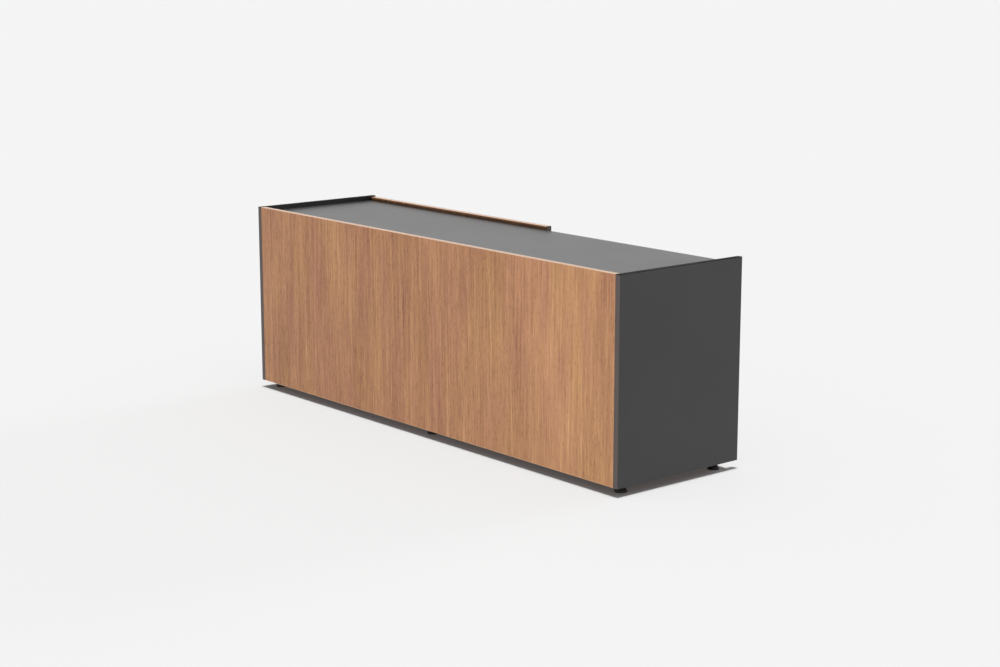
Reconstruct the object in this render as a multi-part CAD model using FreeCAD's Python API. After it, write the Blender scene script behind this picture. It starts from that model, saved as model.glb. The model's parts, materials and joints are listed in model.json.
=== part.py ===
import FreeCAD, Part
import math
import os

from FreeCAD import Vector

# All lengths are in millimetres. The floor is at height zero, the side with the sliding door faces -Y
# and +X is to the right seen from that side.

# Overall sizes
overall_length = 1600.0
overall_depth = 432.0
end_panel_height = 540.0
floor_gap = 22.0
top_recess = 13.0

# Boards and their edging
end_panel_thickness = 16.0
top_thickness = 16.0
bottom_thickness = 16.0
partition_thickness = 16.0
shelf_thickness = 16.0
back_thickness = 16.0
door_thickness = 18.0
edging_thickness = 1.0
edging_round_share = 0.6

# Room round the sliding door, and how far the door reaches past the middle
door_front_inset = 1.5
door_back_gap = 3.5
door_side_gap = 3.0
door_top_drop = 3.0
door_bottom_rise = 3.0
door_overlap = 63.0

# Clearances: a peg or track in its hole, a turning piece on its axle, a sliding piece in its channel
fit_gap = 0.05
running_gap = 0.1
slide_gap = 0.3
cut_overrun = 2.0
touch_limit = 0.001

# Shelves and the rows of holes that carry them
shelf_side_gap = 1.0
shelf_back_gap = 1.0
shelf_pin_radius = 2.5
shelf_pin_reach = 8.0
shelf_hole_web = 2.0
shelf_hole_pitch = 32.0
shelf_hole_rows = 7
shelf_pin_row = 3
shelf_height_share = 0.66
shelf_hole_setback = 37.0

# Cam fittings, their bolts and the dowels beside them
cam_radius = 7.5
cam_floor = 3.5
cam_distance = 34.0
cam_slot_width = 1.6
cam_slot_depth = 2.0
cam_slot_share = 0.7
bolt_head_radius = 3.4
bolt_head_length = 2.5
bolt_neck_radius = 2.2
bolt_neck_length = 3.5
bolt_thread_radius = 3.0
bolt_channel_gap = 0.6
dowel_radius = 4.0
dowel_edge_depth = 24.0
dowel_chamfer = 1.0
face_depth_share = 0.7
end_cam_shares = (0.16, 0.85)
end_dowel_shares = (0.27, 0.72)
back_cam_shares = (-0.6, 0.6)
back_dowel_shares = (-0.3, 0.3)
partition_cam_share = 0.45
partition_dowel_shares = (0.2, 0.75)

# Aluminium tracks let into the bottom and the top board
track_setback = 16.0
track_slot_width = 6.4
track_wall = 1.3
track_floor = 1.6
track_lip_width = 2.5
track_lip_thickness = 1.2
track_end_gap = 2.0
bottom_track_depth = 6.0
top_track_depth = 10.5
track_screw_count = 5
track_screw_radius = 1.4
track_screw_head_radius = 2.6
track_screw_head_height = 1.2
track_screw_share = 0.7
track_screw_inset = 64.0

# Roller carriages at the foot of the door
carriage_inset = 90.0
carriage_plate_width = 56.0
carriage_plate_thickness = 2.5
carriage_plate_rise = 26.0
carriage_corner = 4.0
fork_width = 30.0
fork_sheet = 2.0
fork_top_gap = 1.2
fork_lip_gap = 1.0
fork_corner = 5.0
fork_rib_thickness = 2.0
fork_rib_rise = 10.0
roller_radius = 11.0
roller_width = 5.0
roller_side_gap = 0.5
roller_edge = 1.0
roller_hub_radius = 4.0
roller_rim = 2.6
roller_web = 2.4
roller_hole_count = 5
roller_hole_share = 0.3
axle_radius = 2.0
axle_head_radius = 3.2
axle_head_thickness = 1.2
hardware_clearance = 13.0

# Guides at the head of the door
guide_width = 22.0
guide_plate_width = 50.0
guide_plate_height = 30.0
guide_plate_thickness = 3.0
guide_arm_thickness = 5.0
guide_lip_gap = 1.5
guide_peg_rim = 2.0
guide_peg_chamfer = 0.8
guide_engagement = 3.0
guide_rib_thickness = 2.5
guide_rib_drop = 12.0

# Screws that hold carriages and guides to the door
screw_radius = 1.75
screw_head_radius = 3.4
screw_head_height = 1.8
screw_share = 0.65
screw_spacing = 36.0
screw_edge = 10.0

# Grip profiles on the upright edges of the door, and the buffers that they meet
grip_web = 2.0
grip_corner = 0.8
grip_tongue_thickness = 2.4
grip_tongue_length = 9.0
grip_barb = 0.3
grip_barb_count = 3
buffer_radius = 5.0
buffer_edge_share = 0.4
buffer_height_shares = (0.15, 0.85)

# Levelling feet
foot_end_inset = 36.0
foot_front_inset = 53.0
foot_back_inset = 46.0
foot_pad_radius = 16.25
foot_pad_round = 1.5
foot_neck_radius = 10.0
foot_rim_share = 0.2
foot_pad_share = 0.6
stem_radius = 4.0
stem_seat_share = 0.18
stem_chamfer = 0.8
stem_top_gap = 0.5
stem_hex_flats = 13.0
stem_hex_share = 0.6
socket_radius = 6.0
socket_flange_radius = 11.0
socket_flange_thickness = 1.6
socket_web = 2.0

# Planes that several pieces share
outer_x = overall_length / 2
inner_x = outer_x - end_panel_thickness
front_y = -overall_depth / 2
back_y = overall_depth / 2
back_inner_y = back_y - back_thickness
door_front_y = front_y + door_front_inset
door_back_y = door_front_y + door_thickness
carcass_front_y = door_back_y + door_back_gap
panel_low_z = floor_gap
panel_high_z = floor_gap + end_panel_height
bottom_top_z = panel_low_z + bottom_thickness
top_high_z = panel_high_z - top_recess
top_low_z = top_high_z - top_thickness
partition_x = partition_thickness / 2
edging_round = edging_thickness * edging_round_share

# Door at rest at the right end
door_right_x = inner_x - door_side_gap
door_left_x = -door_overlap
door_low_z = panel_low_z + door_bottom_rise
door_high_z = panel_high_z - door_top_drop
door_middle_y = (door_front_y + door_back_y) / 2
hardware_xs = {"left": door_left_x + carriage_inset, "right": door_right_x - carriage_inset}

# Tracks and running gear
track_y = carcass_front_y + track_setback
track_half = track_slot_width / 2 + track_wall
lip_half = track_half + track_lip_width
lip_top_z = bottom_top_z + track_lip_thickness
track_run_z = bottom_top_z - bottom_track_depth + track_floor
roller_z = track_run_z + slide_gap + roller_radius
fork_half = roller_width / 2 + roller_side_gap
fork_outer = fork_half + fork_sheet
fork_low_z = lip_top_z + fork_lip_gap
fork_under_z = roller_z + roller_radius + fork_top_gap
fork_high_z = fork_under_z + fork_sheet
inner_front_y = track_y + fork_outer + axle_head_thickness + hardware_clearance
guide_high_z = top_low_z - track_lip_thickness - guide_lip_gap

# Shelves
clear_height = top_low_z - bottom_top_z
shelf_pin_z = bottom_top_z + clear_height * shelf_height_share
shelf_low_z = shelf_pin_z + shelf_pin_radius
shelf_back_y = back_inner_y - shelf_back_gap
shelf_hole_ys = (inner_front_y + shelf_hole_setback, shelf_back_y - shelf_hole_setback)

# Feet, left to right and front to back
foot_xs = {"left": foot_end_inset - outer_x, "middle": 0, "right": outer_x - foot_end_inset}
foot_ys = {"front": front_y + foot_front_inset, "back": back_y - foot_back_inset}
foot_points = {
    depth + "_" + side: (x, y) for depth, y in foot_ys.items() for side, x in foot_xs.items()
}
socket_depth = bottom_thickness - socket_web

along_x = Vector(1, 0, 0)
along_y = Vector(0, 1, 0)
along_z = Vector(0, 0, 1)
sides = {"left": -1, "right": 1}


def save(name, *solids):
    shape = solids[0] if len(solids) == 1 else Part.makeCompound(list(solids))
    shape.exportStep("parts/" + name + ".step")


def block(low, high):
    size = [end - start for start, end in zip(low, high)]
    return Part.makeBox(size[0], size[1], size[2], Vector(*low))


def strip(low, high, outward):
    """Edging strip with its two long outer edges eased."""
    body = block(low, high)
    level = max(vertex.Point.dot(outward) for vertex in body.Vertexes)
    longest = max(edge.Length for edge in body.Edges)
    eased = []
    for edge in body.Edges:
        outside = all(vertex.Point.dot(outward) > level - touch_limit for vertex in edge.Vertexes)
        if outside and edge.Length > longest - touch_limit:
            eased.append(edge)
    return body.makeFillet(edging_round, eased)


def rod(radius, start, direction, length):
    return Part.makeCylinder(radius, length, start, direction)


def drilling(radius, mouth, inward, depth):
    """Round cut that starts a little outside the face it is drilled into."""
    return rod(radius, mouth - inward * cut_overrun, inward, depth + cut_overrun)


def turned(outline, base, axis):
    """Solid turned from an outline of (radius, height) points, its axis through base."""
    corners = [Vector(radius, 0, height) for radius, height in outline]
    face = Part.Face(Part.makePolygon(corners + corners[:1]))
    solid = face.revolve(Vector(0, 0, 0), along_z, 360)
    solid.Placement = FreeCAD.Placement(base, FreeCAD.Rotation(along_z, axis))
    return solid


def extruded_x(outline, start, end):
    """Profile of (y, z) points drawn out along the length of the sideboard."""
    corners = [Vector(start, y, z) for y, z in outline]
    face = Part.Face(Part.makePolygon(corners + corners[:1]))
    return face.extrude(along_x * (end - start))


def rounded_corners(body, axis, radius):
    edges = []
    for edge in body.Edges:
        ends = [vertex.Point for vertex in edge.Vertexes]
        run = ends[1] - ends[0]
        if run.cross(axis).Length < touch_limit:
            edges.append(edge)
    return body.makeFillet(radius, edges)


def rounded_rings(body, rings, radius):
    """Turned piece about +Z with the edges at the given (radius, height) rings rounded."""
    edges = []
    for edge in body.Edges:
        if not isinstance(edge.Curve, Part.Circle):
            continue
        size = (edge.Curve.Radius, edge.Curve.Center.z)
        if any(abs(size[0] - ring[0]) + abs(size[1] - ring[1]) < touch_limit for ring in rings):
            edges.append(edge)
    return body.makeFillet(radius, edges)


def extruded_rib(outline, x, thickness):
    return extruded_x(outline, x - thickness / 2, x + thickness / 2)


def wood_screw(head_point, direction, length, radius, head_radius, head_height):
    tip = length - radius
    outline = ((0, 0), (head_radius, 0), (radius, head_height), (radius, tip), (0, length))
    return turned(outline, head_point, direction)


def screw_seat(head_point, direction, length, radius, head_radius, head_height):
    """Countersunk clearance for a screw, kept just clear of it."""
    outline = (
        (0, -cut_overrun),
        (head_radius + fit_gap, -cut_overrun),
        (head_radius + fit_gap, 0),
        (radius + fit_gap, head_height),
        (radius + fit_gap, length + fit_gap),
        (0, length + fit_gap),
    )
    return turned(outline, head_point, direction)


# Drillings that the joints leave in each board, and the fittings that sit in them
drillings = {
    name: []
    for name in (
        "left_end_panel",
        "right_end_panel",
        "top_board",
        "bottom_board",
        "back_panel",
        "centre_partition",
        "door_panel",
    )
}
cams = []
bolts = []
dowels = []


def join_with_cam(edge_board, face_board, joint, inward, opening, edge_thickness, face_thickness):
    """Cam in the edge board near the joint, with a bolt out of the face board."""
    middle = joint + inward * cam_distance
    mouth = middle + opening * (edge_thickness / 2)
    height = edge_thickness - cam_floor
    thread = face_thickness * face_depth_share
    channel = bolt_head_radius + bolt_channel_gap
    pocket = drilling(cam_radius + fit_gap, mouth, opening * -1, height + fit_gap)
    bolt_hole = drilling(bolt_thread_radius + fit_gap, joint, inward * -1, thread + fit_gap)
    drillings[edge_board].extend((pocket, drilling(channel, joint, inward, cam_distance)))
    drillings[face_board].append(bolt_hole)

    cam = rod(cam_radius, mouth, opening * -1, height)
    cam = cam.cut(rod(channel, joint, inward, cam_distance))
    slot_half = cam_radius * cam_slot_share
    for first, second in ((slot_half, cam_slot_width / 2), (cam_slot_width / 2, slot_half)):
        across = inward.cross(opening)
        corner = mouth - inward * first - across * second - opening * cam_slot_depth
        reach = inward * (first * 2) + across * (second * 2) + opening * (cam_slot_depth + cut_overrun)
        ends = (corner, corner + reach)
        low = [min(values) for values in zip(*ends)]
        high = [max(values) for values in zip(*ends)]
        cam = cam.cut(block(low, high))
    cams.append(cam)

    neck_end = bolt_head_length + bolt_neck_length
    shank_end = cam_distance
    outline = (
        (0, 0),
        (bolt_head_radius, 0),
        (bolt_head_radius, bolt_head_length),
        (bolt_neck_radius, bolt_head_length),
        (bolt_neck_radius, neck_end),
        (bolt_head_radius, neck_end),
        (bolt_head_radius, shank_end),
        (bolt_thread_radius, shank_end),
        (bolt_thread_radius, shank_end + thread),
        (0, shank_end + thread),
    )
    bolts.append(turned(outline, middle, inward * -1))


def join_with_dowel(edge_board, face_board, joint, inward, face_thickness):
    depth = face_thickness * face_depth_share
    hole_radius = dowel_radius + fit_gap
    drillings[edge_board].append(drilling(hole_radius, joint, inward, dowel_edge_depth + fit_gap))
    drillings[face_board].append(drilling(hole_radius, joint, inward * -1, depth + fit_gap))
    length = depth + dowel_edge_depth
    outline = (
        (0, 0),
        (dowel_radius - dowel_chamfer, 0),
        (dowel_radius, dowel_chamfer),
        (dowel_radius, length - dowel_chamfer),
        (dowel_radius - dowel_chamfer, length),
        (0, length),
    )
    dowels.append(turned(outline, joint - inward * depth, inward))


def lay_out_joints():
    levels = {
        "top_board": (top_low_z + top_thickness / 2, top_thickness),
        "bottom_board": (panel_low_z + bottom_thickness / 2, bottom_thickness),
    }
    depth = back_inner_y - carcass_front_y
    downward = along_z * -1
    for board, (level, thickness) in levels.items():
        for side, sign in sides.items():
            panel = side + "_end_panel"
            inward = along_x * -sign
            for share in end_cam_shares:
                joint = Vector(sign * inner_x, carcass_front_y + depth * share, level)
                join_with_cam(board, panel, joint, inward, downward, thickness, end_panel_thickness)
            for share in end_dowel_shares:
                joint = Vector(sign * inner_x, carcass_front_y + depth * share, level)
                join_with_dowel(board, panel, joint, inward, end_panel_thickness)
        for share in back_cam_shares:
            joint = Vector(inner_x * share, back_inner_y, level)
            join_with_cam(board, "back_panel", joint, along_y * -1, downward, thickness, back_thickness)
        for share in back_dowel_shares:
            joint = Vector(inner_x * share, back_inner_y, level)
            join_with_dowel(board, "back_panel", joint, along_y * -1, back_thickness)

    run = back_inner_y - inner_front_y
    ends = (
        ("top_board", top_low_z, along_z * -1, top_thickness),
        ("bottom_board", bottom_top_z, along_z, bottom_thickness),
    )
    for board, level, inward, thickness in ends:
        joint = Vector(0, inner_front_y + run * partition_cam_share, level)
        opening = along_x * -1
        join_with_cam("centre_partition", board, joint, inward, opening, partition_thickness, thickness)
        for share in partition_dowel_shares:
            joint = Vector(0, inner_front_y + run * share, level)
            join_with_dowel("centre_partition", board, joint, inward, thickness)


def shelf_faces():
    """Inner faces that carry shelf pins: board, plane, direction into the board, thickness."""
    return (
        ("left_end_panel", -inner_x, along_x * -1, end_panel_thickness),
        ("centre_partition", -partition_x, along_x, partition_thickness),
        ("centre_partition", partition_x, along_x * -1, partition_thickness),
        ("right_end_panel", inner_x, along_x, end_panel_thickness),
    )


def lay_out_shelf_holes():
    pins = []
    for board, plane, inward, thickness in shelf_faces():
        depth = (thickness - shelf_hole_web) / 2
        for y in shelf_hole_ys:
            for row in range(shelf_hole_rows):
                mouth = Vector(plane, y, shelf_pin_z + (row - shelf_pin_row) * shelf_hole_pitch)
                hole = drilling(shelf_pin_radius + fit_gap, mouth, inward, depth + fit_gap)
                drillings[board].append(hole)
            seat = Vector(plane, y, shelf_pin_z) + inward * depth
            pins.append(rod(shelf_pin_radius, seat, inward * -1, depth + shelf_pin_reach))
    save("shelf_pins", *pins)


def drilled(name, low, high):
    return block(low, high).cut(drillings[name])


def make_end_panel(side):
    """Core board with edging on all four edges."""
    name = side + "_end_panel"
    low_x, high_x = sorted((sides[side] * inner_x, sides[side] * outer_x))
    edge = edging_thickness
    core_low = (low_x, front_y + edge, panel_low_z + edge)
    core_high = (high_x, back_y - edge, panel_high_z - edge)
    save(name, drilled(name, core_low, core_high))
    bands = (
        ((low_x, front_y, panel_low_z), (high_x, back_y, panel_low_z + edge), along_z * -1),
        ((low_x, front_y, panel_high_z - edge), (high_x, back_y, panel_high_z), along_z),
        ((low_x, front_y, panel_low_z + edge), (high_x, front_y + edge, panel_high_z - edge), along_y * -1),
        ((low_x, back_y - edge, panel_low_z + edge), (high_x, back_y, panel_high_z - edge), along_y),
    )
    save(side + "_end_edging", *[strip(*band) for band in bands])


def track_outline(face_z, inward, depth):
    """Channel section with lips on the board's face; inward is +1 where the channel points up."""
    lip_z = face_z - inward * track_lip_thickness
    root_z = face_z + inward * depth
    run_z = root_z - inward * track_floor
    slot = track_slot_width / 2
    half = [
        (slot, run_z),
        (slot, lip_z),
        (lip_half, lip_z),
        (lip_half, face_z),
        (track_half, face_z),
        (track_half, root_z),
    ]
    mirrored = [(-y, z) for y, z in reversed(half)]
    return [(track_y + y, z) for y, z in half + mirrored]


def track_groove(face_z, inward, depth):
    half = track_half + fit_gap
    low, high = sorted((face_z - inward * cut_overrun, face_z + inward * depth))
    return block((-inner_x, track_y - half, low), (inner_x, track_y + half, high))


def make_bottom_track():
    end = inner_x - track_end_gap
    track = extruded_x(track_outline(bottom_top_z, -1, bottom_track_depth), -end, end)
    length = track_floor + (bottom_thickness - bottom_track_depth) * track_screw_share
    first = track_screw_inset - inner_x
    pitch = (inner_x - track_screw_inset) * 2 / (track_screw_count - 1)
    sizes = (length, track_screw_radius, track_screw_head_radius, track_screw_head_height)
    screws = []
    for number in range(track_screw_count):
        head = Vector(first + number * pitch, track_y, track_run_z)
        screws.append(wood_screw(head, along_z * -1, *sizes))
        seat = screw_seat(head, along_z * -1, *sizes)
        track = track.cut(seat)
        drillings["bottom_board"].append(seat)
    save("bottom_track", track)
    save("bottom_track_screws", *screws)
    drillings["bottom_board"].append(track_groove(bottom_top_z, -1, bottom_track_depth))


def make_top_track():
    end = inner_x - track_end_gap
    save("top_track", extruded_x(track_outline(top_low_z, 1, top_track_depth), -end, end))
    drillings["top_board"].append(track_groove(top_low_z, 1, top_track_depth))


def make_carcass_boards():
    core_y = carcass_front_y + edging_thickness
    boards = (("top_board", top_low_z, top_high_z), ("bottom_board", panel_low_z, bottom_top_z))
    for name, low_z, high_z in boards:
        save(name, drilled(name, (-inner_x, core_y, low_z), (inner_x, back_inner_y, high_z)))
        low = (-inner_x, carcass_front_y, low_z)
        save(name + "_edging", strip(low, (inner_x, core_y, high_z), along_y * -1))

    core_y = inner_front_y + edging_thickness
    low = (-partition_x, core_y, bottom_top_z)
    save("centre_partition", drilled("centre_partition", low, (partition_x, back_inner_y, top_low_z)))
    low = (-partition_x, inner_front_y, bottom_top_z)
    save("centre_partition_edging", strip(low, (partition_x, core_y, top_low_z), along_y * -1))


def make_back_panel():
    edge = edging_thickness
    low = (-inner_x, back_inner_y, panel_low_z + edge)
    save("back_panel", drilled("back_panel", low, (inner_x, back_y, panel_high_z - edge)))
    lower = strip((-inner_x, back_inner_y, panel_low_z), (inner_x, back_y, panel_low_z + edge), along_z * -1)
    upper = strip((-inner_x, back_inner_y, panel_high_z - edge), (inner_x, back_y, panel_high_z), along_z)
    save("back_panel_edging", lower, upper)


def make_shelf(side):
    planes = sorted((sides[side] * partition_x, sides[side] * inner_x))
    low_x = planes[0] + shelf_side_gap
    high_x = planes[1] - shelf_side_gap
    core_y = inner_front_y + edging_thickness
    high_z = shelf_low_z + shelf_thickness
    save(side + "_shelf", block((low_x, core_y, shelf_low_z), (high_x, shelf_back_y, high_z)))
    low = (low_x, inner_front_y, shelf_low_z)
    save(side + "_shelf_edging", strip(low, (high_x, core_y, high_z), along_y * -1))


def make_buffers():
    """Rubber discs on the end panels that the door meets at the end of its travel."""
    thickness = door_side_gap - slide_gap
    edge = thickness * buffer_edge_share
    outline = (
        (0, 0),
        (buffer_radius, 0),
        (buffer_radius, thickness - edge),
        (buffer_radius - edge, thickness),
        (0, thickness),
    )
    buffers = []
    for sign in sides.values():
        for share in buffer_height_shares:
            height = door_low_z + (door_high_z - door_low_z) * share
            base = Vector(sign * inner_x, door_middle_y, height)
            buffers.append(turned(outline, base, along_x * -sign))
    save("door_buffers", *buffers)


def grip_solid(edge_x, inward):
    """T-shaped profile: a rounded web over the door's edge and a barbed tongue let into it."""
    low_x, high_x = sorted((edge_x, edge_x + inward * grip_web))
    web = block((low_x, door_front_y, door_low_z), (high_x, door_back_y, door_high_z))
    outer = []
    for edge in web.Edges:
        ends = [vertex.Point for vertex in edge.Vertexes]
        upright = abs(ends[0].z - ends[1].z) > touch_limit
        if upright and abs(ends[0].x - edge_x) < touch_limit:
            outer.append(edge)
    web = web.makeFillet(grip_corner, outer)

    half = grip_tongue_thickness / 2
    root_x = edge_x + inward * grip_web
    pitch = grip_tongue_length / grip_barb_count
    barbs = []
    for number in range(grip_barb_count):
        barbs.append((number * pitch, half))
        barbs.append((number * pitch + pitch, half - grip_barb))
    ring = barbs + [(reach, -y) for reach, y in reversed(barbs)]
    base_z = door_low_z + edging_thickness
    corners = [Vector(root_x + inward * reach, door_middle_y + y, base_z) for reach, y in ring]
    face = Part.Face(Part.makePolygon(corners + corners[:1]))
    tongue = face.extrude(along_z * (door_high_z - door_low_z - edging_thickness * 2))
    return web.fuse(tongue).removeSplitter()


def make_door():
    low_x = door_left_x + grip_web
    high_x = door_right_x - grip_web
    low_z = door_low_z + edging_thickness
    high_z = door_high_z - edging_thickness
    half = grip_tongue_thickness / 2 + fit_gap
    for edge_x, inward in ((low_x, 1), (high_x, -1)):
        ends = sorted((edge_x - inward * cut_overrun, edge_x + inward * (grip_tongue_length + fit_gap)))
        groove_low = (ends[0], door_middle_y - half, low_z - cut_overrun)
        groove_high = (ends[1], door_middle_y + half, high_z + cut_overrun)
        drillings["door_panel"].append(block(groove_low, groove_high))
    save("door_panel", drilled("door_panel", (low_x, door_front_y, low_z), (high_x, door_back_y, high_z)))
    lower = strip((low_x, door_front_y, door_low_z), (high_x, door_back_y, low_z), along_z * -1)
    upper = strip((low_x, door_front_y, high_z), (high_x, door_back_y, door_high_z), along_z)
    save("door_edging", lower, upper)
    save("left_grip_profile", grip_solid(door_left_x, 1))
    save("right_grip_profile", grip_solid(door_right_x, -1))


def door_screws(x, level, plate_thickness):
    """Pair of countersunk screws through a plate on the door's inner face, with their seats."""
    length = plate_thickness + door_thickness * screw_share
    screws = []
    seats = []
    for sign in sides.values():
        head = Vector(x + sign * screw_spacing / 2, door_back_y + plate_thickness, level)
        sizes = (length, screw_radius, screw_head_radius, screw_head_height)
        screws.append(wood_screw(head, along_y * -1, *sizes))
        seats.append(screw_seat(head, along_y * -1, *sizes))
    drillings["door_panel"].extend(seats)
    return screws, seats


def carriage_solid(x):
    """Plate on the door with a fork that straddles the roller."""
    plate_y = door_back_y + carriage_plate_thickness
    half = carriage_plate_width / 2
    plate_low = (x - half, door_back_y, fork_low_z)
    plate = block(plate_low, (x + half, plate_y, fork_high_z + carriage_plate_rise))
    plate = rounded_corners(plate, along_y, carriage_corner)
    outline = (
        (plate_y, fork_under_z),
        (track_y - fork_outer, fork_under_z),
        (track_y - fork_outer, fork_low_z),
        (track_y - fork_half, fork_low_z),
        (track_y - fork_half, fork_under_z),
        (track_y + fork_half, fork_under_z),
        (track_y + fork_half, fork_low_z),
        (track_y + fork_outer, fork_low_z),
        (track_y + fork_outer, fork_high_z),
        (plate_y, fork_high_z),
    )
    fork = extruded_x(outline, x - fork_width / 2, x + fork_width / 2)
    cheek_ends = []
    for edge in fork.Edges:
        ends = [vertex.Point for vertex in edge.Vertexes]
        low = all(abs(end.z - fork_low_z) < touch_limit for end in ends)
        if low and abs(ends[0].x - ends[1].x) < touch_limit:
            cheek_ends.append(edge)
    fork = fork.makeFillet(fork_corner, cheek_ends)
    rib_outline = (
        (plate_y, fork_high_z),
        (track_y + fork_outer, fork_high_z),
        (plate_y, fork_high_z + fork_rib_rise),
    )
    rib_reach = (fork_width - fork_rib_thickness) / 2
    ribs = [extruded_rib(rib_outline, x + sign * rib_reach, fork_rib_thickness) for sign in sides.values()]
    hole_start = Vector(x, track_y - fork_outer - cut_overrun, roller_z)
    hole = rod(axle_radius + fit_gap, hole_start, along_y, (fork_outer + cut_overrun) * 2)
    return plate.fuse([fork] + ribs).removeSplitter().cut(hole)


def axle_solid(x):
    end = fork_outer + axle_head_thickness
    outline = (
        (0, -end),
        (axle_head_radius, -end),
        (axle_head_radius, -fork_outer),
        (axle_radius, -fork_outer),
        (axle_radius, fork_outer),
        (axle_head_radius, fork_outer),
        (axle_head_radius, end),
        (0, end),
    )
    return turned(outline, Vector(x, track_y, roller_z), along_y)


def roller_solid(x):
    """Roller with a hub, a thin pierced web and a rim with eased edges."""
    half = roller_width / 2
    web = roller_web / 2
    bore = axle_radius + running_gap
    rim = roller_radius - roller_rim
    side_outline = [
        (bore, half),
        (roller_hub_radius, half),
        (roller_hub_radius, web),
        (rim, web),
        (rim, half),
        (roller_radius - roller_edge, half),
        (roller_radius, half - roller_edge),
    ]
    outline = side_outline + [(radius, -height) for radius, height in reversed(side_outline)]
    middle = Vector(x, track_y, roller_z)
    hole_radius = (rim - roller_hub_radius) * roller_hole_share
    reach = Vector(0, -half, (rim + roller_hub_radius) / 2)
    holes = []
    for number in range(roller_hole_count):
        turn = FreeCAD.Rotation(along_y, 360 * number / roller_hole_count)
        holes.append(rod(hole_radius, middle + turn.multVec(reach), along_y, roller_width))
    return turned(outline, middle, along_y).cut(holes)


def guide_solid(x):
    """Plate on the door with an arm and a peg that runs in the top track."""
    plate_y = door_back_y + guide_plate_thickness
    half = guide_plate_width / 2
    plate_low = (x - half, door_back_y, guide_high_z - guide_plate_height)
    plate = rounded_corners(block(plate_low, (x + half, plate_y, guide_high_z)), along_y, carriage_corner)
    peg_radius = track_slot_width / 2 - slide_gap
    reach = track_y + peg_radius + guide_peg_rim
    arm_low_z = guide_high_z - guide_arm_thickness
    arm_low = (x - guide_width / 2, door_back_y, arm_low_z)
    arm = block(arm_low, (x + guide_width / 2, reach, guide_high_z))
    height = top_low_z + guide_engagement - arm_low_z
    peg_outline = (
        (0, 0),
        (peg_radius, 0),
        (peg_radius, height - guide_peg_chamfer),
        (peg_radius - guide_peg_chamfer, height),
        (0, height),
    )
    peg = turned(peg_outline, Vector(x, track_y, arm_low_z), along_z)
    rib_outline = ((plate_y, arm_low_z), (reach, arm_low_z), (plate_y, arm_low_z - guide_rib_drop))
    rib_reach = (guide_width - guide_rib_thickness) / 2
    ribs = [extruded_rib(rib_outline, x + sign * rib_reach, guide_rib_thickness) for sign in sides.values()]
    return plate.fuse([arm, peg] + ribs).removeSplitter()


def make_running_gear():
    carriage_screws = []
    guide_screws = []
    axles = []
    for side, x in hardware_xs.items():
        level = fork_high_z + carriage_plate_rise - screw_edge
        screws, seats = door_screws(x, level, carriage_plate_thickness)
        save(side + "_carriage", carriage_solid(x).cut(seats))
        carriage_screws.extend(screws)
        axles.append(axle_solid(x))
        save(side + "_roller", roller_solid(x))

        level = guide_high_z - guide_plate_height + screw_edge
        screws, seats = door_screws(x, level, guide_plate_thickness)
        save(side + "_guide", guide_solid(x).cut(seats))
        guide_screws.extend(screws)
    save("roller_axles", *axles)
    save("carriage_screws", *carriage_screws)
    save("guide_screws", *guide_screws)


def hexagon_prism(flats, base_z, height):
    reach = flats / math.sqrt(3)
    turns = [math.radians(60 * number) for number in range(7)]
    corners = [Vector(reach * math.cos(turn), reach * math.sin(turn), base_z) for turn in turns]
    return Part.Face(Part.makePolygon(corners)).extrude(along_z * height)


def make_feet():
    pad_height = floor_gap * foot_pad_share
    rim_height = floor_gap * foot_rim_share
    seat = floor_gap * stem_seat_share
    stem_top = panel_low_z + socket_depth - stem_top_gap
    pad_outline = (
        (0, 0),
        (foot_pad_radius, 0),
        (foot_pad_radius, rim_height),
        (foot_neck_radius, pad_height),
        (stem_radius + fit_gap, pad_height),
        (stem_radius + fit_gap, seat),
        (0, seat),
    )
    stem_outline = (
        (0, seat),
        (stem_radius, seat),
        (stem_radius, stem_top - stem_chamfer),
        (stem_radius - stem_chamfer, stem_top),
        (0, stem_top),
    )
    pad_rings = ((foot_pad_radius, 0), (foot_pad_radius, rim_height), (foot_neck_radius, pad_height))
    pad = rounded_rings(turned(pad_outline, Vector(0, 0, 0), along_z), pad_rings, foot_pad_round)
    bore = stem_radius + running_gap
    flange_z = panel_low_z - socket_flange_thickness
    hexagon = hexagon_prism(stem_hex_flats, pad_height, (flange_z - pad_height) * stem_hex_share)
    stem = turned(stem_outline, Vector(0, 0, 0), along_z).fuse(hexagon).removeSplitter()
    socket_outline = (
        (bore, flange_z),
        (socket_flange_radius, flange_z),
        (socket_flange_radius, panel_low_z),
        (socket_radius, panel_low_z),
        (socket_radius, panel_low_z + socket_depth),
        (bore, panel_low_z + socket_depth),
    )
    sockets = []
    for name, (x, y) in foot_points.items():
        base = Vector(x, y, 0)
        save(name + "_foot_pad", pad.translated(base))
        save(name + "_foot_stem", stem.translated(base))
        sockets.append(turned(socket_outline, base, along_z))
        mouth = Vector(x, y, panel_low_z)
        hole = drilling(socket_radius + fit_gap, mouth, along_z, socket_depth + fit_gap)
        drillings["bottom_board"].append(hole)
    save("foot_sockets", *sockets)


os.makedirs("parts", exist_ok=True)
lay_out_joints()
lay_out_shelf_holes()
make_bottom_track()
make_top_track()
make_running_gear()
make_feet()
make_carcass_boards()
make_back_panel()
make_door()
make_buffers()
for side in sides:
    make_end_panel(side)
    make_shelf(side)
save("cam_fittings", *cams)
save("cam_bolts", *bolts)
save("wood_dowels", *dowels)
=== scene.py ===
import json
import math

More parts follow.
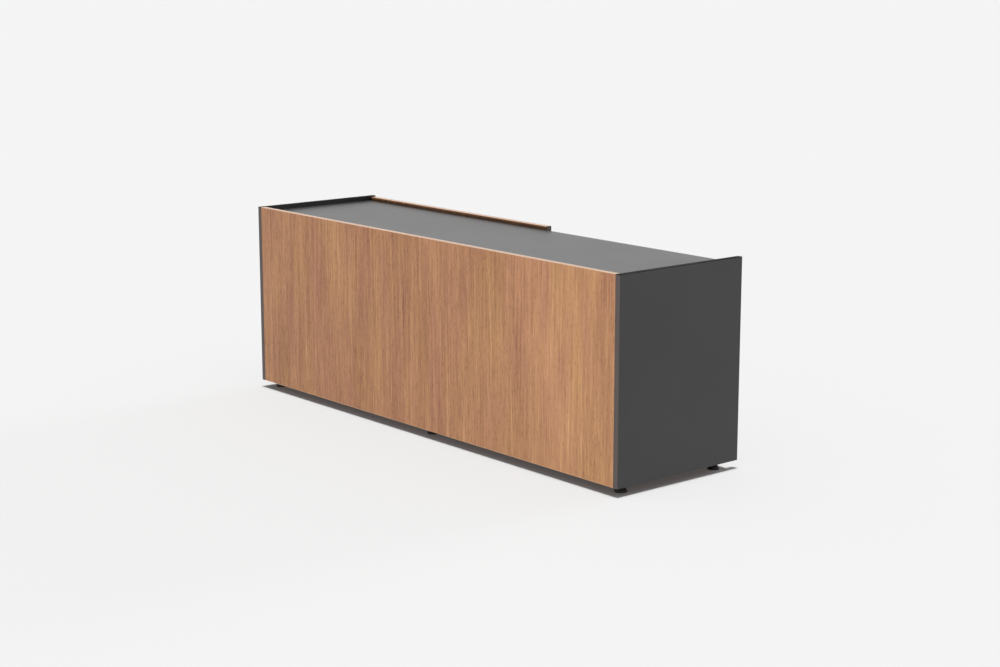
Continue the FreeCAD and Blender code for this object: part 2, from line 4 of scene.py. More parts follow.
import bpy
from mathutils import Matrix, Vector

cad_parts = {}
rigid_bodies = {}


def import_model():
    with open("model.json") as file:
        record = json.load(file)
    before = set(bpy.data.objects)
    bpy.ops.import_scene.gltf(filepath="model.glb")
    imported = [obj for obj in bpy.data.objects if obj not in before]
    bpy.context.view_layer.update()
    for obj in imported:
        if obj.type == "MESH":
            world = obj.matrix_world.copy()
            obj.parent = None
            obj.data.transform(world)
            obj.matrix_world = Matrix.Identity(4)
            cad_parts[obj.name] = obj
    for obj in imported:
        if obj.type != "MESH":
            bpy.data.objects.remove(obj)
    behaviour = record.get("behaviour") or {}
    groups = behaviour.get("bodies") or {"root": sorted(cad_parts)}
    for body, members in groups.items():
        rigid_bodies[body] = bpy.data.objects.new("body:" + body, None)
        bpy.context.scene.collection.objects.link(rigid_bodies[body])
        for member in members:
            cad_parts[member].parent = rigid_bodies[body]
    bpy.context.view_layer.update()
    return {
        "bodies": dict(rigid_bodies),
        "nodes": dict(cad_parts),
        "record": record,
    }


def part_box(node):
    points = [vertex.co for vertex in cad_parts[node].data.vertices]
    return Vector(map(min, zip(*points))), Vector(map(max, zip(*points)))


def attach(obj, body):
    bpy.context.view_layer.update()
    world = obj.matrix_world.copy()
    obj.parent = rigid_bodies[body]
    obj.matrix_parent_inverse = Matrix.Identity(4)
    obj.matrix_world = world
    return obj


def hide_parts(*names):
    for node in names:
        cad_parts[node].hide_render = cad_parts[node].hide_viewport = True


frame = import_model()
cadNodes = frame["nodes"]
scene = bpy.context.scene
print("frame loaded:", len(cadNodes), "CAD nodes")


def hexColour(text):
    # sRGB hex to the linear colour that a socket takes
    levels = [int(text[i:i + 2], 16) / 255 for i in (1, 3, 5)]
    return [v / 12.92 if v <= 0.04045 else ((v + 0.055) / 1.055) ** 2.4 for v in levels] + [1.0]


def addNode(tree, kind, sockets=None, stops=None, **settings):
    # one node with its settings; sockets take a value or other nodes' outputs, stops are for a colour ramp.
    # Numbered sockets: Map Range goes from 1 and 2 to 3 and 4, and Mix has its colours in 6 and 7
    node = tree.nodes.new(kind)
    for name, value in settings.items():
        setattr(node, name, value)
    for place, value in (sockets or {}).items():
        sources = value if isinstance(value, list) else [value]
        if isinstance(sources[0], bpy.types.NodeSocket):
            for source in sources:
                tree.links.new(source, node.inputs[place])
        else:
            node.inputs[place].default_value = value
    if stops:
        ramp = node.color_ramp.elements
        while len(ramp) < len(stops):
            ramp.new(0.5)
        for element, (position, level) in zip(ramp, stops):
            element.position = position
            element.color = (level, level, level, 1)
    return node


def newMaterial(name, **shading):
    # empty material with a Principled shader; returns it with its tree, shader and Object coordinates
    material = bpy.data.materials.new(name)
    material.use_nodes = True
    tree = material.node_tree
    tree.nodes.clear()
    shader = addNode(tree, "ShaderNodeBsdfPrincipled", shading)
    addNode(tree, "ShaderNodeOutputMaterial", {"Surface": shader.outputs[0]})
    return material, tree, shader, addNode(tree, "ShaderNodeTexCoord").outputs["Object"]


def perMetre(sizes):
    # pattern sizes in millimetres to repeats per metre
    return [1000 / size for size in sizes]


# Walnut-toned veneer under satin lacquer: straight upright grain, slim streaks, dark pores. Sizes are in mm
veneerLook = {
    "gold": "#A5754A",
    "rose": "#A16D4D",
    "toneBands": (70, 80, 420),
    "toneShares": ((0.32, 0), (0.68, 1)),  # from gold to rose
    "paintedLightFrom": 0.2,  # painted light: the veneer is drawn paler towards one end, standing in for light that grows that way, between these places in metres
    "paintedLightTo": -0.8,
    # painted light: how much paler that end is drawn
    "paintedLightLift": 0.24,
    "deepen": (1.0, 1.3, 1.5),  # dark grain loses more green and blue than red
    "layers": (  # width, depth and length in mm, strength
        ((130, 60, 500), 0.42),
        ((36, 40, 420), 0.38),
        ((11, 30, 260), 0.42),
        ((4.4, 20, 210), 0.54),
        ((2.6, 20, 500), 0.43),
        ((4.2, 20, 44), 0.50),
        ((0.8, 20, 90), 0.50),  # the real fine grain, for a close look
    ),
    "poreSize": (4.2, 20, 18),  # short dark dashes, drawn wider than real ones so that they show
    "poreShape": ((0.12, 1), (0.42, 0)),
    "poreShares": ((0.5, 0), (0.7, 1)),  # only some of the cells hold a pore
    "poreDepth": 0.3,
    "threadSize": (7, 30, 240),  # a few pale threads
    "threadShares": ((0.68, 0), (0.8, 1)),
    "threadLift": 0.22,
    "driftSize": (240, 240, 700),  # the grain wanders sideways along its length
    "drift": 2,
    "bump": 0.1,
    "bumpStrength": 0.25,
    "roughness": (0.36, 0.48),
}


def makeVeneer():
    look = veneerLook
    material, tree, shader, coords = newMaterial("walnutVeneer")
    # coordinates of the wandering grain
    place = addNode(tree, "ShaderNodeMapping", {"Vector": coords, "Scale": perMetre(look["driftSize"])})
    wander = addNode(tree, "ShaderNodeTexNoise", {"Vector": place.outputs[0], "Scale": 1, "Detail": 1})
    drift = {0: wander.outputs[0], 1: look["drift"] / 1000}
    shift = addNode(tree, "ShaderNodeMath", drift, operation="MULTIPLY")
    aside = addNode(tree, "ShaderNodeCombineXYZ", {"X": shift.outputs[0]})
    bent = {0: coords, 1: aside.outputs[0]}
    grain = addNode(tree, "ShaderNodeVectorMath", bent, operation="ADD").outputs[0]

    # light and dark streaks around a base tone with painted light, paler towards one end
    along = addNode(tree, "ShaderNodeSeparateXYZ", {0: coords}).outputs["X"]
    even = 1 - sum(strength for size, strength in look["layers"]) / 2
    # painted light: the base tone ramps paler along X
    ends = {0: along, 1: look["paintedLightFrom"], 2: look["paintedLightTo"], 3: even, 4: even + look["paintedLightLift"]}
    tone = addNode(tree, "ShaderNodeMapRange", ends, interpolation_type="SMOOTHSTEP")
    for size, strength in look["layers"]:
        place = addNode(tree, "ShaderNodeMapping", {"Vector": grain, "Scale": perMetre(size)})
        noise = addNode(tree, "ShaderNodeTexNoise", {"Vector": place.outputs[0], "Scale": 1, "Detail": 1})
        streaks = {0: noise.outputs[0], 1: strength, 2: tone.outputs[0]}
        tone = addNode(tree, "ShaderNodeMath", streaks, operation="MULTIPLY_ADD")

    # pores
    place = addNode(tree, "ShaderNodeMapping", {"Vector": grain, "Scale": perMetre(look["poreSize"])})
    cells = addNode(tree, "ShaderNodeTexVoronoi", {"Vector": place.outputs[0], "Scale": 1})
    dash = addNode(tree, "ShaderNodeValToRGB", {0: cells.outputs["Distance"]}, stops=look["poreShape"])
    some = addNode(tree, "ShaderNodeValToRGB", {0: cells.outputs["Color"]}, stops=look["poreShares"])
    pore = addNode(tree, "ShaderNodeMath", {0: dash.outputs[0], 1: some.outputs[0]}, operation="MULTIPLY")
    darker = {0: pore.outputs[0], 1: -look["poreDepth"], 2: tone.outputs[0]}
    tone = addNode(tree, "ShaderNodeMath", darker, operation="MULTIPLY_ADD")

    # pale threads
    place = addNode(tree, "ShaderNodeMapping", {"Vector": grain, "Scale": perMetre(look["threadSize"])})
    threads = addNode(tree, "ShaderNodeTexNoise", {"Vector": place.outputs[0], "Scale": 1, "Detail": 0})
    pale = addNode(tree, "ShaderNodeValToRGB", {0: threads.outputs[0]}, stops=look["threadShares"])
    paler = {0: pale.outputs[0], 1: look["threadLift"], 2: tone.outputs[0]}
    tone = addNode(tree, "ShaderNodeMath", paler, operation="MULTIPLY_ADD")

    # gold and rose leaves, stained by the streaks
    place = addNode(tree, "ShaderNodeMapping", {"Vector": grain, "Scale": perMetre(look["toneBands"])})
    broad = {"Vector": place.outputs[0], "Scale": 1, "Detail": 3, "Roughness": 0.6}
    bands = addNode(tree, "ShaderNodeTexNoise", broad)
    share = addNode(tree, "ShaderNodeValToRGB", {0: bands.outputs[0]}, stops=look["toneShares"])
    leaves = {"Factor": share.outputs[0], 6: hexColour(look["gold"]), 7: hexColour(look["rose"])}
    wood = addNode(tree, "ShaderNodeMix", leaves, data_type="RGBA")
    depth = {0: tone.outputs[0], 1: look["deepen"], 2: [1 - slope for slope in look["deepen"]]}
    grade = addNode(tree, "ShaderNodeVectorMath", depth, operation="MULTIPLY_ADD")
    stain = {0: wood.outputs[2], 1: grade.outputs[0]}
    shade = addNode(tree, "ShaderNodeVectorMath", stain, operation="MULTIPLY")
    tree.links.new(shade.outputs[0], shader.inputs["Base Color"])

    # open pores print through the lacquer
    grooves = {0: noise.outputs[0], 1: pore.outputs[0]}
    relief = addNode(tree, "ShaderNodeMath", grooves, operation="SUBTRACT").outputs[0]
    pressed = {"Height": relief, "Strength": look["bumpStrength"], "Distance": look["bump"] / 1000}
    bump = addNode(tree, "ShaderNodeBump", pressed)
    tree.links.new(bump.outputs[0], shader.inputs["Normal"])
    smooth, rough = look["roughness"]
    gloss = addNode(tree, "ShaderNodeMapRange", {0: noise.outputs[0], 3: smooth, 4: rough}, clamp=False)
    tree.links.new(gloss.outputs[0], shader.inputs["Roughness"])
    return material


# Finishes with a fine grain over broad clouds. Sizes are in mm; the colour runs from low to high
plainShared = {
    "toneNoise": (0.7, 1.3),  # the stretch of the noise that is used
    "glossNoise": (0.3, 0.7),
    "bumpStrength": 0.5,
}
plainLooks = {
    # melamine board: pearl texture, drawn coarser than real so that it shows; satin gleam at low angles
    "graphite_board": {
        "name": "graphiteMelamine",
        "low": "#313131",
        "high": "#383838",
        "grain": (5, 5, 5),
        "clouds": (220, 220, 220),
        "bump": 0.02,
        "roughness": (0.34, 0.37),
        "shading": {},
    },
    "graphite_edging": {  # extruded ABS edging: a little warmer and rougher than the board
        "name": "graphiteEdging",
        "low": "#5A5452",
        "high": "#605957",
        "topStrips": 0.1,  # the strips along the top edges are drawn at a tenth of the edging's colour, a dark line along the top
        "topLevel": 0.5605,
        "grain": (2.2, 2.2, 2.2),
        "clouds": (90, 90, 90),
        "bump": 0.01,
        "roughness": (0.53, 0.67),
        "shading": {"Specular IOR Level": 0.06},
    },
    "walnut_edging": {  # lacquered veneer edging with its grain along the strip; paler than the veneer, partly its own colour and partly a painted highlight of the light on the top edges
        "name": "walnutEdging",
        "low": "#C39776",
        "high": "#DAB190",
        "grain": (60, 1.2, 1.2),
        "clouds": (160, 20, 20),
        "bump": 0.02,
        "roughness": (0.2, 0.32),
        "shading": {},
    },
    "zinc_plated_steel": {  # zinc plating: bright, faintly clouded
        "name": "zincPlatedSteel",
        "low": "#B7B9BB",
        "high": "#CFD1D2",
        "grain": (0.8, 0.8, 0.8),
        "clouds": (6, 6, 6),
        "bump": 0.004,
        "roughness": (0.23, 0.37),
        "shading": {"Metallic": 1},
    },
    "zinc_casting": {  # zinc die casting: dull grey with a sandy skin
        "name": "dieCastZinc",
        "low": "#8C8E90",
        "high": "#A3A5A7",
        "grain": (0.9, 0.9, 0.9),
        "clouds": (14, 14, 14),
        "bump": 0.02,
        "roughness": (0.41, 0.55),
        "shading": {"Metallic": 1},
    },
    "beech": {  # turned beech: pale with short flecks
        "name": "beech",
        "low": "#B98F63",
        "high": "#D2AB80",
        "grain": (6, 1, 1),
        "clouds": (30, 6, 6),
        "bump": 0.02,
        "roughness": (0.53, 0.67),
        "shading": {},
    },
    "anodised_aluminium": {  # natural anodised aluminium: silky, drawn lines along the extrusion
        "name": "anodisedAluminium",
        "low": "#B4B6B8",
        "high": "#CBCCCE",
        "grain": (90, 0.6, 0.6),
        "clouds": (400, 20, 20),
        "bump": 0.004,
        "roughness": (0.31, 0.45),
        "shading": {"Metallic": 1},
    },
    "graphite_aluminium": {  # dark anodised aluminium: brownish grey, drawn lines up the profile
        "name": "darkAnodisedAluminium",
        "low": "#4A4340",
        "high": "#5A524D",
        "grain": (0.6, 0.6, 90),
        "clouds": (20, 20, 200),
        "bump": 0.004,
        "roughness": (0.35, 0.49),
        "shading": {"Metallic": 1},
    },
    "black_rubber": {  # rubber: black, dry and slightly grained
        "name": "blackRubber",
        "low": "#181818",
        "high": "#222222",
        "grain": (0.7, 0.7, 0.7),
        "clouds": (5, 5, 5),
        "bump": 0.03,
        "roughness": (0.73, 0.87),
        "shading": {},
    },
    "black_nylon": {  # black moulded nylon: fine spark-eroded grain
        "name": "blackNylon",
        "low": "#121212",
        "high": "#1A1A1A",
        "grain": (0.8, 0.8, 0.8),
        "clouds": (12, 12, 12),
        "bump": 0.03,
        "roughness": (0.43, 0.57),
        "shading": {},
    },
    "pale_nylon": {  # natural acetal: creamy white, smooth from the mould
        "name": "naturalAcetal",
        "low": "#CFCBC0",
        "high": "#DDD9CF",
        "grain": (1.5, 1.5, 1.5),
        "clouds": (8, 8, 8),
        "bump": 0.005,
        "roughness": (0.28, 0.42),
        "shading": {},
    },
}


def makePlain(look):
    material, tree, shader, coords = newMaterial(look["name"], **look["shading"])
    patterns = []
    for size in (look["grain"], look["clouds"]):
        place = addNode(tree, "ShaderNodeMapping", {"Vector": coords, "Scale": perMetre(size)})
        noise = addNode(tree, "ShaderNodeTexNoise", {"Vector": place.outputs[0], "Scale": 1, "Detail": 2})
        patterns.append(noise.outputs[0])
    both = addNode(tree, "ShaderNodeMath", {0: patterns[0], 1: patterns[1]}, operation="ADD")
    least, most = plainShared["toneNoise"]
    share = addNode(tree, "ShaderNodeMapRange", {0: both.outputs[0], 1: least, 2: most})
    shades = {"Factor": share.outputs[0], 6: hexColour(look["low"]), 7: hexColour(look["high"])}
    colour = addNode(tree, "ShaderNodeMix", shades, data_type="RGBA").outputs[2]
    if "topStrips" in look:
        # edging above the top level is drawn far darker than the rest
        height = addNode(tree, "ShaderNodeSeparateXYZ", {0: coords}).outputs["Z"]
        above = addNode(tree, "ShaderNodeMath", {0: height, 1: look["topLevel"]}, operation="GREATER_THAN")
        level = addNode(tree, "ShaderNodeMapRange", {0: above.outputs[0], 3: 1, 4: look["topStrips"]})
        dimmed = {0: colour, "Scale": level.outputs[0]}
        colour = addNode(tree, "ShaderNodeVectorMath", dimmed, operation="SCALE").outputs[0]
    tree.links.new(colour, shader.inputs["Base Color"])
    least, most = plainShared["glossNoise"]
    smooth, rough = look["roughness"]
    gloss = addNode(tree, "ShaderNodeMapRange", {0: patterns[1], 1: least, 2: most, 3: smooth, 4: rough})
    tree.links.new(gloss.outputs[0], shader.inputs["Roughness"])
    strength = plainShared["bumpStrength"]
    relief = {"Height": patterns[0], "Strength": strength, "Distance": look["bump"] / 1000}
    bump = addNode(tree, "ShaderNodeBump", relief)
    tree.links.new(bump.outputs[0], shader.inputs["Normal"])
    return material


finishes = {slot: makePlain(look) for slot, look in plainLooks.items()}
finishes["walnut_veneer"] = makeVeneer()
for part in frame["record"]["subparts"]:
    cadNodes[part["node"]].material_slots[0].material = finishes[part["material_slot"]]
print("finishes on CAD nodes:", len(finishes))


def newTree(name, kinds):
    # Geometry Nodes tree with an input of each kind by name; returns it with its input sockets
    tree = bpy.data.node_groups.new(name, "GeometryNodeTree")
    for way in ("INPUT", "OUTPUT"):
        tree.interface.new_socket("Geometry", in_out=way, socket_type="NodeSocketGeometry")
    for label, kind in kinds.items():
        tree.interface.new_socket(label, in_out="INPUT", socket_type="NodeSocket" + kind)
    return tree, addNode(tree, "NodeGroupInput").outputs


# what every threaded piece is given, and what they share
rodKinds = {"tilt": "Vector", "seed": "Int", "finish": "Material"}
for size in ("length", "radius", "root", "pitch", "headRadius", "headHeight", "endRadius"):
    rodKinds[size] = "Float"
rodLook = {"weldDistance": 0.000001, "sharpAngle": 35}


def addThreadedRod(tree, given, sides, rows):
    # rod from 0 down the Z axis: a grid is rolled up, and each row takes its radius from its depth
    sheet = {"Size X": 1, "Size Y": 1, "Vertices X": sides + 1, "Vertices Y": rows}
    grid = addNode(tree, "GeometryNodeMeshGrid", sheet).outputs["Mesh"]
    flat = addNode(tree, "GeometryNodeInputPosition").outputs[0]
    flat = addNode(tree, "ShaderNodeSeparateXYZ", {0: flat})
    across = flat.outputs["X"]
    turn = addNode(tree, "ShaderNodeMath", {0: across, 1: -2 * math.pi}, operation="MULTIPLY").outputs[0]
    count = {0: flat.outputs["Y"], 1: -0.5, 2: 0.5, 4: rows - 1}
    row = addNode(tree, "ShaderNodeMapRange", count).outputs[0]
    reach = {0: row, 1: 1, 2: rows - 2, 4: given["length"]}
    depth = addNode(tree, "ShaderNodeMapRange", reach).outputs[0]

    # right-hand thread between the radius and its root, below a cone head, with a bevelled end
    wave = addNode(tree, "ShaderNodeMath", {0: depth, 1: given["pitch"]}, operation="DIVIDE").outputs[0]
    wave = addNode(tree, "ShaderNodeMath", {0: wave, 1: across}, operation="SUBTRACT").outputs[0]
    wave = addNode(tree, "ShaderNodeMath", {0: wave, 1: 0.5}, operation="PINGPONG").outputs[0]
    flank = {0: wave, 1: 0, 2: 0.5, 3: given["radius"], 4: given["root"]}
    shank = addNode(tree, "ShaderNodeMapRange", flank).outputs[0]
    cone = {0: depth, 1: 0, 2: given["headHeight"], 3: given["headRadius"], 4: given["root"]}
    head = addNode(tree, "ShaderNodeMapRange", cone).outputs[0]
    thick = addNode(tree, "ShaderNodeMath", {0: shank, 1: head}, operation="MAXIMUM").outputs[0]
    left = addNode(tree, "ShaderNodeMath", {0: given["length"], 1: depth}, operation="SUBTRACT").outputs[0]
    bevel = addNode(tree, "ShaderNodeMath", {0: left, 1: given["endRadius"]}, operation="ADD").outputs[0]
    thick = addNode(tree, "ShaderNodeMath", {0: thick, 1: bevel}, operation="MINIMUM").outputs[0]
    # the first and the last row meet on the axis and close the ends
    middle = (rows - 1) / 2
    between = {0: row, 1: middle, 2: middle - 0.5}
    inside = addNode(tree, "ShaderNodeMath", between, operation="COMPARE").outputs[0]
    thick = addNode(tree, "ShaderNodeMath", {0: thick, 1: inside}, operation="MULTIPLY").outputs[0]
    down = addNode(tree, "ShaderNodeMath", {0: depth, 1: -1}, operation="MULTIPLY").outputs[0]
    spoke = addNode(tree, "ShaderNodeCombineXYZ", {"X": thick, "Z": down}).outputs[0]
    rolled = {"Vector": spoke, "Angle": turn}
    rolled = addNode(tree, "ShaderNodeVectorRotate", rolled, rotation_type="Z_AXIS").outputs[0]
    shape = addNode(tree, "GeometryNodeSetPosition", {"Geometry": grid, "Position": rolled})
    welded = {"Geometry": shape.outputs[0], "Distance": rodLook["weldDistance"]}
    return addNode(tree, "GeometryNodeMergeByDistance", welded).outputs[0]


def placeOnPoints(tree, given, shape):
    # smooth up to the sharp edges, set on each point with a turn of its own, and given its finish
    soft = addNode(tree, "GeometryNodeSetShadeSmooth", {0: shape}).outputs[0]
    bend = addNode(tree, "GeometryNodeInputMeshEdgeAngle").outputs[0]
    limit = {0: bend, 1: math.radians(rodLook["sharpAngle"])}
    hard = addNode(tree, "FunctionNodeCompare", limit, operation="GREATER_THAN").outputs[0]
    edges = {0: soft, "Selection": hard, "Shade Smooth": False}
    shaded = addNode(tree, "GeometryNodeSetShadeSmooth", edges, domain="EDGE").outputs[0]
    tilt = addNode(tree, "FunctionNodeEulerToRotation", {0: given["tilt"]}).outputs[0]
    spread = {"Points": given["Geometry"], "Instance": shaded, "Rotation": tilt}
    copies = addNode(tree, "GeometryNodeInstanceOnPoints", spread).outputs[0]
    chance = {2: -math.pi, 3: math.pi, "Seed": given["seed"]}
    angle = addNode(tree, "FunctionNodeRandomValue", chance).outputs[1]
    spin = addNode(tree, "ShaderNodeCombineXYZ", {"Z": angle}).outputs[0]
    spin = addNode(tree, "FunctionNodeEulerToRotation", {0: spin}).outputs[0]
    turned = {"Instances": copies, "Rotation": spin}
    turned = addNode(tree, "GeometryNodeRotateInstances", turned).outputs[0]
    real = addNode(tree, "GeometryNodeRealizeInstances", {"Geometry": turned}).outputs[0]
    plated = {"Geometry": real, "Material": given["finish"]}
    plated = addNode(tree, "GeometryNodeSetMaterial", plated).outputs[0]
    addNode(tree, "NodeGroupOutput", {"Geometry": plated})


def growPiece(name, tree, points, values, body, node):
    # runs the tree on the points, keeps the result as a plain mesh and puts it in the CAD node's place
    mesh = bpy.data.meshes.new(name + "Points")
    mesh.from_pydata(points, [], [])
    piece = bpy.data.objects.new(name, mesh)
    scene.collection.objects.link(piece)
    modifier = piece.modifiers.new(name, "NODES")
    modifier.node_group = tree
    for item in tree.interface.items_tree:
        if item.name in values:
            modifier[item.identifier] = values[item.name]
    depsgraph = bpy.context.evaluated_depsgraph_get()
    piece.data = bpy.data.meshes.new_from_object(piece.evaluated_get(depsgraph))
    piece.modifiers.clear()
    piece.data.materials.pop(index=0)  # the empty slot of the points
    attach(piece, body)
    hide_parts(node)
    print(name, "has", len(piece.data.polygons), "faces")


# Countersunk wood screws with a cross recess, in metres
doorScrew = {
    "body": "sliding_door",
    "headRadius": 0.0034,
    "headHeight": 0.0018,
    "radius": 0.00175,
    "pitch": 0.0014,
    "recessSpan": 0.0036,
    "recessDepth": 0.0011,
    "alongShares": (0, 36 / 700, 664 / 700, 1),  # a pair 36 mm apart at each end of a row of 700 mm
    "headAxis": 1,
    "tilt": (-math.pi / 2, 0, 0),
}
screwLook = {
    "sides": 20,
    "rows": 66,
    "rootShare": 0.72,
    "endRadius": 0.0002,
    "recessWidth": 0.0008,
    "sets": {
        "carriageScrews": {**doorScrew, "node": "carriage_screws", "seed": 3},
        "guideScrews": {**doorScrew, "node": "guide_screws", "seed": 8},
        "trackScrews": {
            "node": "bottom_track_screws",
            "body": "carcass",
            "headRadius": 0.0026,
            "headHeight": 0.0012,
            "radius": 0.0014,
            "pitch": 0.0011,
            "recessSpan": 0.0028,
            "recessDepth": 0.0008,
            "alongShares": (0, 0.25, 0.5, 0.75, 1),
            "headAxis": 2,
            "tilt": (0, 0, 0),
            "seed": 5,
        },
    },
}


def makeScrews():
    look = screwLook
    sizes = ("recessSpan", "recessWidth", "recessDepth")
    tree, given = newTree("crossRecessScrew", {**rodKinds, **{size: "Float" for size in sizes}})
    rod = addThreadedRod(tree, given, look["sides"], look["rows"])
    # the blade stands half above the head and cuts to the recess depth
    tall = addNode(tree, "ShaderNodeMath", {0: given["recessDepth"], 1: 2}, operation="MULTIPLY").outputs[0]
    shape = {"X": given["recessSpan"], "Y": given["recessWidth"], "Z": tall}
    shape = addNode(tree, "ShaderNodeCombineXYZ", shape).outputs[0]
    blade = addNode(tree, "GeometryNodeMeshCube", {"Size": shape}).outputs["Mesh"]
    crossed = {"Geometry": blade, "Rotation": (0, 0, math.pi / 2)}
    crossed = addNode(tree, "GeometryNodeTransform", crossed).outputs[0]
    cut = {"Mesh 1": rod, "Mesh 2": [blade, crossed]}
    cut = addNode(tree, "GeometryNodeMeshBoolean", cut, operation="DIFFERENCE", solver="EXACT").outputs[0]
    placeOnPoints(tree, given, cut)

    for name, screws in look["sets"].items():
        low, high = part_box(screws["node"])
        axis = screws["headAxis"]
        place = [(a + b) / 2 for a, b in zip(low, high)]
        place[axis] = high[axis]
        first = low[0] + screws["headRadius"]
        run = high[0] - screws["headRadius"] - first
        points = [(first + share * run, place[1], place[2]) for share in screws["alongShares"]]
        values = {**look, **screws, "finish": finishes["zinc_plated_steel"]}
        values["length"] = high[axis] - low[axis]
        values["root"] = screws["radius"] * look["rootShare"]
        growPiece(name, tree, points, values, screws["body"], screws["node"])


# Levelling stems in metres: M8 thread and a hexagon for a 13 mm spanner
stemLook = {
    "sides": 24,
    "rows": 156,
    "radius": 0.004,
    "root": 0.0034,
    "pitch": 0.00125,
    "headRadius": 0.0034,
    "headHeight": 0.001,
    "endRadius": 0.0032,
    "hexFlats": 0.013,
    "hexDepth": 0.00924,  # from the lower end of the stem
    "hexHeight": 0.00432,
    "coneSides": 48,
    "conePastShare": 0.1,  # how far the bevel's cone stands past the hexagon, as a share of its height
    "tilt": (math.pi, 0, 0),
}


def makeStems():
    look = stemLook
    sizes = ("hexFlats", "hexDepth", "hexHeight")
    tree, given = newTree("levellingStem", {**rodKinds, **{size: "Float" for size in sizes}})
    rod = addThreadedRod(tree, given, look["sides"], look["rows"])
    flats, tall = given["hexFlats"], given["hexHeight"]
    corner = {0: flats, 1: 1 / math.sqrt(3)}
    corner = addNode(tree, "ShaderNodeMath", corner, operation="MULTIPLY").outputs[0]
    prism = {"Vertices": 6, "Radius": corner, "Depth": tall}
    prism = addNode(tree, "GeometryNodeMeshCylinder", prism).outputs["Mesh"]
    # a wide cone takes the corners off the upper side at 30 degrees
    slope = math.sqrt(3)
    past = look["conePastShare"]
    half = addNode(tree, "ShaderNodeMath", {0: flats, 1: 0.5}, operation="MULTIPLY").outputs[0]
    small = {0: tall, 1: -past * slope, 2: half}
    small = addNode(tree, "ShaderNodeMath", small, operation="MULTIPLY_ADD").outputs[0]
    wide = {0: tall, 1: (1 + past) * slope, 2: half}
    wide = addNode(tree, "ShaderNodeMath", wide, operation="MULTIPLY_ADD").outputs[0]
    height = addNode(tree, "ShaderNodeMath", {0: tall, 1: 1 + 2 * past}, operation="MULTIPLY").outputs[0]
    cone = {"Vertices": look["coneSides"], "Radius Top": wide, "Radius Bottom": small, "Depth": height}
    cone = addNode(tree, "GeometryNodeMeshCone", cone).outputs["Mesh"]
    lower = addNode(tree, "ShaderNodeMath", {0: height, 1: -0.5}, operation="MULTIPLY").outputs[0]
    lower = addNode(tree, "ShaderNodeCombineXYZ", {"Z": lower}).outputs[0]
    cone = addNode(tree, "GeometryNodeTransform", {"Geometry": cone, "Translation": lower}).outputs[0]
    nut = {"Mesh 2": [prism, cone]}
    nut = addNode(tree, "GeometryNodeMeshBoolean", nut, operation="INTERSECT", solver="EXACT").outputs[0]
    centre = addNode(tree, "ShaderNodeMath", {0: tall, 1: -0.5}, operation="MULTIPLY").outputs[0]
    centre = {0: centre, 1: given["hexDepth"]}
    centre = addNode(tree, "ShaderNodeMath", centre, operation="SUBTRACT").outputs[0]
    centre = addNode(tree, "ShaderNodeCombineXYZ", {"Z": centre}).outputs[0]
    nut = addNode(tree, "GeometryNodeTransform", {"Geometry": nut, "Translation": centre}).outputs[0]
    both = addNode(tree, "GeometryNodeJoinGeometry", {"Geometry": [rod, nut]}).outputs[0]
    placeOnPoints(tree, given, both)

    bodies = [name for name in frame["bodies"] if name.endswith("_foot")]
    for number, body in enumerate(sorted(bodies)):
        low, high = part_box(body + "_stem")
        point = ((low[0] + high[0]) / 2, (low[1] + high[1]) / 2, low[2])
        values = {**look, "seed": number, "finish": finishes["zinc_plated_steel"]}
        values["length"] = high[2] - low[2]
        growPiece("threadedStem." + body, tree, [point], values, body, body + "_stem")


makeScrews()
makeStems()

# Room: pale floor and backdrop, a lamp straight above, even light from both long sides. Sizes are in metres
roomLook = {
    "floorSize": 800,
    "backdrop": 0.915,  # what the floor and the backdrop show
    "shadowLift": 0.066,  # what the floor shows where no lamp reaches it
    "shadowTint": "#FFF0EB",
    "skyLevel": 0.1,
    "lamps": (  # name, direction the light comes from, level on a facing white surface, angle in degrees
        ("overhead", (0, 0, 1), 0.74, 4),
        ("backSide", (0, 1, 0.012), 0.52, 1.4),
        ("doorSide", (0, -1, 0.25), 0.46, 20),
    ),
    # for the floor alone: under more light, darker paint picks up less of the veneer's colour
    "floorLamps": (
        ("floorSun", (0, 0, 1), 2.4, 1.5),
        ("floorDome", (0, 0, 1), 0.6, 160),
    ),
}


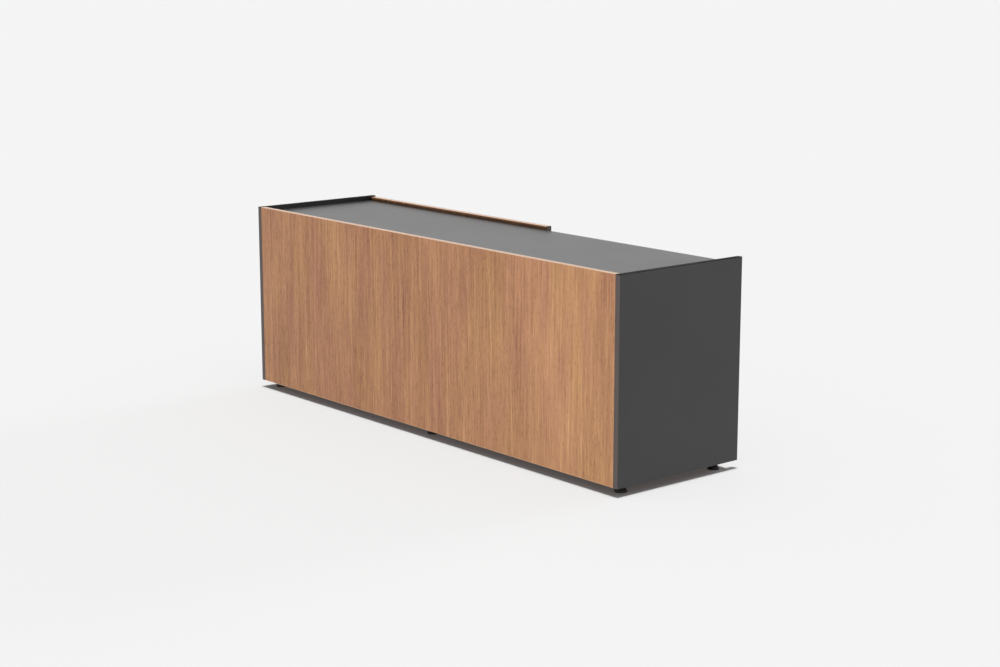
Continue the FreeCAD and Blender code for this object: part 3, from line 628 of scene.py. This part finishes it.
def makeRoom():
    look = roomLook
    half = look["floorSize"] / 2
    corners = [(-half, -half, 0), (half, -half, 0), (half, half, 0), (-half, half, 0)]
    mesh = bpy.data.meshes.new("floor")
    mesh.from_pydata(corners, [], [(0, 1, 2, 3)])
    floor = bpy.data.objects.new("floor", mesh)
    scene.collection.objects.link(floor)
    material = bpy.data.materials.new("paintedFloor")
    material.use_nodes = True
    mesh.materials.append(material)
    tree = material.node_tree
    tree.nodes.clear()
    share = 1 / (1 + sum(level for name, source, level, angle in look["floorLamps"]))
    tint = hexColour(look["shadowTint"])
    bare = [share * (look["backdrop"] - look["shadowLift"] * part) for part in tint[:3]]
    seen = addNode(tree, "ShaderNodeBsdfDiffuse", {"Color": (*bare, 1)})
    lift = addNode(tree, "ShaderNodeEmission", {"Color": tint, "Strength": look["shadowLift"]})
    both = addNode(tree, "ShaderNodeAddShader", {0: seen.outputs[0], 1: lift.outputs[0]})
    level = share * look["backdrop"]
    lit = addNode(tree, "ShaderNodeBsdfDiffuse", {"Color": (level, level, level, 1)})
    ray = addNode(tree, "ShaderNodeLightPath").outputs["Is Camera Ray"]
    paint = addNode(tree, "ShaderNodeMixShader", {0: ray, 1: lit.outputs[0], 2: both.outputs[0]})
    addNode(tree, "ShaderNodeOutputMaterial", {"Surface": paint.outputs[0]})

    receivers = bpy.data.collections.new("floorAlone")
    receivers.objects.link(floor)
    for group in ("lamps", "floorLamps"):
        for name, source, level, angle in look[group]:
            lamp = bpy.data.lights.new(name, "SUN")
            lamp.energy = level * math.pi
            lamp.angle = math.radians(angle)
            holder = bpy.data.objects.new(name, lamp)
            holder.rotation_mode = "QUATERNION"
            holder.rotation_quaternion = Vector(source).to_track_quat("Z", "Y")
            holder.visible_glossy = False  # gloss shows the even backdrop, not the lamps
            scene.collection.objects.link(holder)
            if group == "floorLamps":
                holder.light_linking.receiver_collection = receivers

    world = bpy.data.worlds.new("room")
    world.use_nodes = True
    scene.world = world
    tree = world.node_tree
    tree.nodes.clear()
    path = addNode(tree, "ShaderNodeLightPath")
    seen = path.outputs["Is Camera Ray"]
    for ray in ("Is Glossy Ray", "Is Transmission Ray"):
        either = {0: seen, 1: path.outputs[ray]}
        seen = addNode(tree, "ShaderNodeMath", either, operation="MAXIMUM").outputs[0]
    level = look["skyLevel"]
    rise = look["backdrop"] - level
    strength = addNode(tree, "ShaderNodeMath", {0: seen, 1: rise, 2: level}, operation="MULTIPLY_ADD")
    sky = addNode(tree, "ShaderNodeBackground", {"Color": (1, 1, 1, 1), "Strength": strength.outputs[0]})
    addNode(tree, "ShaderNodeOutputWorld", {"Surface": sky.outputs[0]})


# Camera at the photograph's viewing angle
cameraLook = {
    "place": (-4.1194, 3.3825, 1.3507),
    "yaw": -40.012,
    "pitch": -11.526,
    "lens": 68.96,
    "clipEnd": 2000,
}


def makeCamera():
    yaw, pitch = math.radians(cameraLook["yaw"]), math.radians(cameraLook["pitch"])
    forward = Vector((math.cos(pitch) * math.cos(yaw), math.cos(pitch) * math.sin(yaw), math.sin(pitch)))
    lens = bpy.data.cameras.new("camera")
    lens.lens = cameraLook["lens"]
    lens.clip_end = cameraLook["clipEnd"]
    holder = bpy.data.objects.new("camera", lens)
    holder.rotation_mode = "QUATERNION"
    holder.location = cameraLook["place"]
    holder.rotation_quaternion = forward.to_track_quat("-Z", "Y")
    scene.collection.objects.link(holder)
    scene.camera = holder


makeRoom()
makeCamera()
scene.view_settings.view_transform = "Standard"
print("room and camera set")
